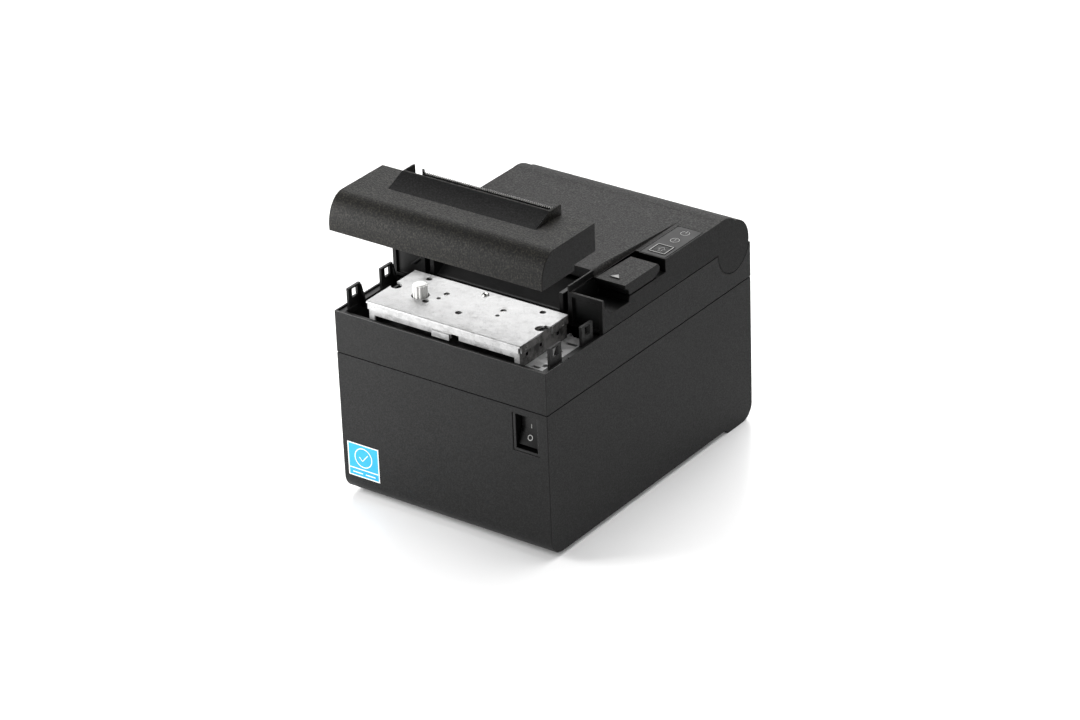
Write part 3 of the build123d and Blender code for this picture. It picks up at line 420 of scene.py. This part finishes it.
def inside_cutter_cover(x, y, z, normal):
    height = z - LIFT
    curve = ((y - 13) / 13) ** 2 + ((height - 121) / 17.1) ** 2
    outer = (abs(x) > OUTER_X or height > TOP_Z - 0.5 or y < 0.35 or y > 49.6
             or (y < 13 and height > 121 and curve > 0.9))
    trough = abs(x) < 49 and 38.5 < y < 49.7 and height < TOP_Z + 5.7 and normal.z < 0.6
    return not outer or trough


def ridge_front(x, y, z, normal):
    return abs(x) < 50.4 and 26.4 < y < 39.2 and z - LIFT > TOP_Z + 0.05 and normal.y < -0.2


def inside_upper_case(x, y, z, normal):
    outer = abs(x) > OUTER_X or y < OUTER_Y or y > REAR_Y or 117.3 < z < 118.2 or x > 66
    # the rim's top face and the left lugs' faces, which the lid shades, get painted shade too
    rim_top = 117.5 < z < 118.2 and normal.z > 0.95
    left_lugs = x < -60 and z > 118.2
    return not outer or rim_top or left_lugs


def inside_lower_case(x, y, z, normal):
    # the rounded seam edge gets painted shade as well
    return not (abs(x) > OUTER_X or y < OUTER_Y or z < 7) or z > SEAM_Z - 0.35


def rim_shadow(x, y, z, normal):
    """The rounded edge under the roll cover and round its rear end, given painted shade."""
    return y > WELL_Y and (117.35 < z < 118 or hinge_distance(y, z) < LOBE_R + 0.9) and z > 99


def front_corner(x, y, z, normal):
    return abs(x) > OUTER_X and y < OUTER_Y and abs(normal.x) > 0.3 and normal.y < -0.3


def rim_edge(x, y, z, normal):
    on_edge = y < 0.35 or abs(x) > 72.15
    return RIM_Z - 0.35 < z < RIM_Z - 0.01 and y < 53.5 and on_edge and 0.15 < normal.z < 0.97


def cover_shadow(x, y, z, normal):
    """The roll cover's rounded lower edge and the edge of its round rear end, given painted shade."""
    lobe_edge = 15.4 < hinge_distance(y, z) < 16.2 and (z < 118 or y < 176) and z < 121
    return abs(x) > OUTER_X and abs(normal.x) < 0.97 and ((z < 118.5 and y < 170) or lobe_edge)


dress(shells["cutter_cover"], lid_abs)
# painted shade: near-black on the insides of the roll cover and the cutter cover, and in the cutter cover's
# trough
paint(shells["roll_cover"], painted_shade_abs, inside_roll_cover)
paint(shells["cutter_cover"], painted_shade_abs, inside_cutter_cover)
paint(shells["cutter_cover"], ridge_abs, ridge_front)
# painted shade: near-black on the insides of the case shells
paint(shells["upper_case"], painted_shade_abs, inside_upper_case)
paint(shells["lower_case"], painted_shade_abs, inside_lower_case)
# painted shade in the seam's shadow gap and on the rounded rim edge under the roll cover
paint(shells["upper_case"], painted_shade_abs, lambda x, y, z, n: z < SEAM_Z + GROOVE + 0.2)
paint(shells["upper_case"], painted_shade_abs, rim_shadow)

# painted shade on the upright corners at the front, which are darker than the faces, and a painted highlight
# on the rim's outer edge, which is lighter
for node in ("lower_case", "upper_case"):
    paint(shells[node], painted_shade_abs, front_corner)
paint(shells["upper_case"], rim_highlight_abs, rim_edge)

# the sides of the roll cover, the cutter cover and the lever are smoother than their tops, and darker than
# them as painted shade; the lever's front and rear faces get the same
for node, side in {"roll_cover": OUTER_X, "cutter_cover": OUTER_X, "cover_lever": 72.0}.items():
    paint(shells[node], smooth_shaded_side_abs, lambda x, y, z, n: abs(x) > side and abs(n.x) > 0.8)
paint(shells["cover_lever"], smooth_shaded_side_abs, lambda x, y, z, n: n.y < -0.3 or y > 109.2)
# painted shade on the roll cover's rounded lower edge and round its rear end
paint(shells["roll_cover"], painted_shade_abs, cover_shadow)

# sheet steel: darker cut sides, painted shade inside the cutter frame
paint(nodes["cutter_top_plate"], darkened_zinc, lambda x, y, z, n: abs(n.x) > 0.7 and z < PLATE_Z - 0.4)
paint(nodes["cutter_frame"], darkened_zinc, lambda x, y, z, n: n.x > 0.7 and x > 51)
paint(nodes["cutter_frame"], painted_shade_steel,
      lambda x, y, z, n: abs(x) < 51.3 and y > 6.1 and z > 113.2)
# painted shade on the tear bar's lower strip and its left end
paint(shells["tear_bar"], painted_shade_abs, lambda x, y, z, n: z - LIFT < 142.2 or x < -39.6)


# ---------------------------------------------------------------- feed button, label
def make_feed_button():
    """Button with a printed white line round a dished, darker middle."""
    button = clean_copy("feed_button")
    dress(button, panel_film, white_ink, button_plastic)

    def top(x, y, z, normal):
        return normal.z > 0.9

    def within(x, y, reach_x, reach_y):
        return abs(x - BUTTON[0]) < reach_x and abs(y - BUTTON[1]) < reach_y

    def middle(x, y, z, normal):
        return normal.z > 0.9 and within(x, y, 3, 3)

    pick(button, top)
    bpy.ops.mesh.inset(thickness=0.25 * MM)
    bpy.ops.mesh.inset(thickness=0.45 * MM)
    bpy.ops.mesh.select_all(action="SELECT")
    bpy.ops.mesh.remove_doubles(threshold=0.14 * MM)
    bpy.ops.object.mode_set(mode="OBJECT")
    for face in button.data.polygons:
        x, y, z = centre_of(face)
        if top(x, y, z, face.normal) and not middle(x, y, z, face.normal) and within(x, y, 5.1, 4.9):
            face.material_index = 1
    pick(button, middle)
    bpy.ops.mesh.inset(thickness=0.35 * MM)
    bpy.ops.transform.translate(value=(0, 0, -0.35 * MM))
    bpy.ops.object.mode_set(mode="OBJECT")
    for face in button.data.polygons:
        x, y, z = centre_of(face)
        if face.normal.z > 0.3 and within(x, y, 4.8, 4.6) and face.material_index == 0:
            face.material_index = 2
    round_edges(button, 0.12, clamp=True)
    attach(button, "button")
    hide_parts("feed_button")
    return button


def make_label():
    """White-bordered sticker."""
    label = clean_copy("label_plate")
    dress(label, label_white, label_blue)
    pick(label, lambda x, y, z, normal: normal.y < -0.9)
    bpy.ops.mesh.inset(thickness=0.75 * MM)
    bpy.ops.object.mode_set(mode="OBJECT")
    for face in label.data.polygons:
        if face.normal.y < -0.9 and face.area > (15 * MM) ** 2:
            face.material_index = 1
    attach(label, "casing")
    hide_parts("label_plate")
    return label


def make_lever_arrow():
    """A triangle on the lever's raised arrow, pointing back, made lighter as a painted highlight of its lit
    facet.
    """
    middle_y = 83.5
    bpy.ops.object.select_all(action="DESELECT")
    bpy.ops.mesh.primitive_circle_add(vertices=3, radius=3.4 * MM, fill_type="NGON",
                                      location=spot(61.6, middle_y, TOP_Z + 0.42))
    wedge = bpy.context.object
    wedge.name = "lever_arrow"
    bpy.ops.object.mode_set(mode="EDIT")
    bpy.ops.mesh.select_all(action="SELECT")
    bpy.ops.mesh.extrude_region_move(TRANSFORM_OT_translate={"value": (0, 0, 0.15 * MM)})
    bpy.ops.mesh.select_all(action="SELECT")
    bpy.ops.mesh.normals_make_consistent(inside=False)
    bpy.ops.object.mode_set(mode="OBJECT")
    bpy.ops.object.transform_apply(location=True, rotation=True, scale=True)
    middle = (middle_y - FRONT) * MM
    for point in wedge.data.vertices:
        point.co.y = middle + (point.co.y - middle) * 0.75
    round_edges(wedge, 0.05, clamp=True)
    dress(wedge, arrow_highlight_abs)
    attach(wedge, "lever")
    return wedge


make_feed_button()
make_label()
make_lever_arrow()


# ---------------------------------------------------------------- printed marks
def arc(x, y, radius, first, last, steps=24):
    """Points in mm along a circle, between two angles in degrees."""
    turns = [math.radians(first + (last - first) * i / steps) for i in range(steps + 1)]
    return [(x + radius * math.cos(turn), y + radius * math.sin(turn)) for turn in turns]


def printed(name, lines, width_mm, ink, body, across, upward, at, rise_mm=0.05):
    """Raised ink lines; each of lines is (points in mm, closed), drawn along across and upward from at."""
    curve = bpy.data.curves.new(name, "CURVE")
    curve.dimensions = "3D"
    curve.bevel_depth = width_mm * MM / 2
    curve.bevel_resolution = 1
    for points, closed in lines:
        line = curve.splines.new("POLY")
        line.points.add(len(points) - 1)
        for point, (x, y) in zip(line.points, points):
            point.co = (x * MM, y * MM, 0, 1)
        line.use_cyclic_u = closed
    mark = bpy.data.objects.new(name, curve)
    bpy.context.scene.collection.objects.link(mark)
    select_only(mark)
    bpy.ops.object.convert(target="MESH")
    mark = bpy.context.object
    bpy.ops.object.mode_set(mode="EDIT")
    bpy.ops.mesh.select_all(action="SELECT")
    bpy.ops.transform.resize(value=(1, 1, 2 * rise_mm / width_mm), center_override=(0, 0, 0))
    bpy.ops.object.mode_set(mode="OBJECT")
    across, upward = Vector(across).normalized(), Vector(upward).normalized()
    turn = Matrix((across, upward, across.cross(upward))).transposed().to_4x4()
    mark.data.transform(Matrix.Translation(at) @ turn)
    dress(mark, ink)
    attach(mark, body)
    return mark


PANEL_TOP = TOP_Z + 0.1
EAST, NORTH, UP = (1, 0, 0), (0, 1, 0), (0, 0, 1)
printed("power_sign", [(arc(0, 0, 2.6, 122, 418), False), ([(0, 0.3), (0, 3.2)], False)], 0.38, white_ink,
        "roll_cover", EAST, NORTH, spot(63.4, 149.3, PANEL_TOP))
printed("alert_sign", [(arc(0, 0, 2.6, 0, 345), True), ([(0, -0.35), (0, 1.5)], False),
                       ([(0, -1.5), (0, -1.2)], False)], 0.38, white_ink,
        "roll_cover", EAST, NORTH, spot(63.4, 139.0, PANEL_TOP))
printed("feed_sign", [([(0, 2.5), (-2.3, 0.2), (-1.0, 0.2), (-1.0, -2.2), (1.0, -2.2), (1.0, 0.2),
                        (2.3, 0.2)], True)], 0.34, white_ink,
        "button", EAST, NORTH, spot(63.35, 125.6, TOP_Z + 0.05))


def make_switch_marks():
    """I above O, on the two faces of the rocker."""
    tilt = math.radians(-10)
    pivot = (8.0, 76.7)

    def on_rocker(y, z):
        return (pivot[0] + y * math.cos(tilt) - z * math.sin(tilt),
                pivot[1] + y * math.sin(tilt) + z * math.cos(tilt))

    for name, low, high, along, lines in (
        ("on_mark", (-2.7, 0.0), (-4.5, 9.6), 2.0, [([(0, -1.3), (0, 1.3)], False)]),
        ("off_mark", (-4.5, -9.6), (-2.7, 0.0), 5.0, [(arc(0, 0, 1.45, 0, 345), True)]),
    ):
        (y0, z0), (y1, z1) = on_rocker(*low), on_rocker(*high)
        length = math.hypot(y1 - y0, z1 - z0)
        upward = (0, (y1 - y0) / length, (z1 - z0) / length)
        place = spot(SWITCH_X, y0 + upward[1] * along, z0 + upward[2] * along)
        printed(name, lines, 0.55, white_ink, "rocker", EAST, upward, place)


make_switch_marks()
LABEL_MIDDLE = spot(-58.15, 0.0, 25.2)
printed("label_lines", [([(-10.1, -5.6), (10.1, -5.6)], False), ([(-8.0, -8.2), (-1.0, -8.2)], False),
                        ([(1.0, -8.2), (8.0, -8.2)], False)], 0.7, label_white, "casing",
        EAST, UP, LABEL_MIDDLE)
printed("label_tick", [(arc(0, 2.2, 6.0, 0, 350, 40), True), ([(-2.9, 2.3), (-0.8, 0.0), (3.2, 4.6)], False)],
        0.6, label_white, "casing", EAST, UP, LABEL_MIDDLE)

# ---------------------------------------------------------------- room
def make_room():
    bpy.ops.object.select_all(action="DESELECT")
    bpy.ops.mesh.primitive_plane_add(size=14.0, location=(0, 0, 0))
    floor = bpy.context.object
    floor.name = "floor"
    material, tree, place = start("white studio paper")
    fibre = noise(tree, place, 120.0, 2.0)
    finish_material(tree, {"Roughness": 0.24, "Specular IOR Level": 0.45, "Emission Color": linear("FFFFFF"),
                           "Emission Strength": 0.07},
                    {"Base Color": ramp(tree, fibre, [(0.3, "F4F4F4"), (0.7, "F7F7F7")])})
    dress(floor, material)

    scene = bpy.context.scene
    scene.view_settings.view_transform = "Standard"
    world = bpy.data.worlds.new("studio")
    scene.world = world
    world.use_nodes = True
    background = world.node_tree.nodes["Background"]
    background.inputs["Color"].default_value = linear("FFFFFF")
    background.inputs["Strength"].default_value = 0.20

    # large soft sources far away: name, azimuth, elevation, width of the source, strength
    for name, azimuth, elevation, width, strength in (
        ("overhead", 170, 68, 60, 2.3),
        ("behind", 205, 36, 45, 1.6),
        ("right", 80, 30, 50, 0.44),
    ):
        data = bpy.data.lights.new(name, "SUN")
        data.angle = math.radians(width)
        data.energy = strength
        light = bpy.data.objects.new(name, data)
        a, e = math.radians(azimuth), math.radians(elevation)
        towards = Vector((math.sin(a) * math.cos(e), -math.cos(a) * math.cos(e), math.sin(e)))
        light.rotation_euler = towards.to_track_quat("Z", "Y").to_euler()
        light.location = towards * 2.0
        scene.collection.objects.link(light)

    # a small softbox close to the front's left end
    data = bpy.data.lights.new("softbox", "AREA")
    data.shape = "RECTANGLE"
    data.size, data.size_y, data.energy = 0.18, 0.24, 2.0
    light = bpy.data.objects.new("softbox", data)
    light.location = (-0.28, -0.32, 0.22)
    light.rotation_euler = (Vector((-0.02, -0.10, 0.06)) - light.location).to_track_quat("-Z", "Y").to_euler()
    scene.collection.objects.link(light)


make_room()
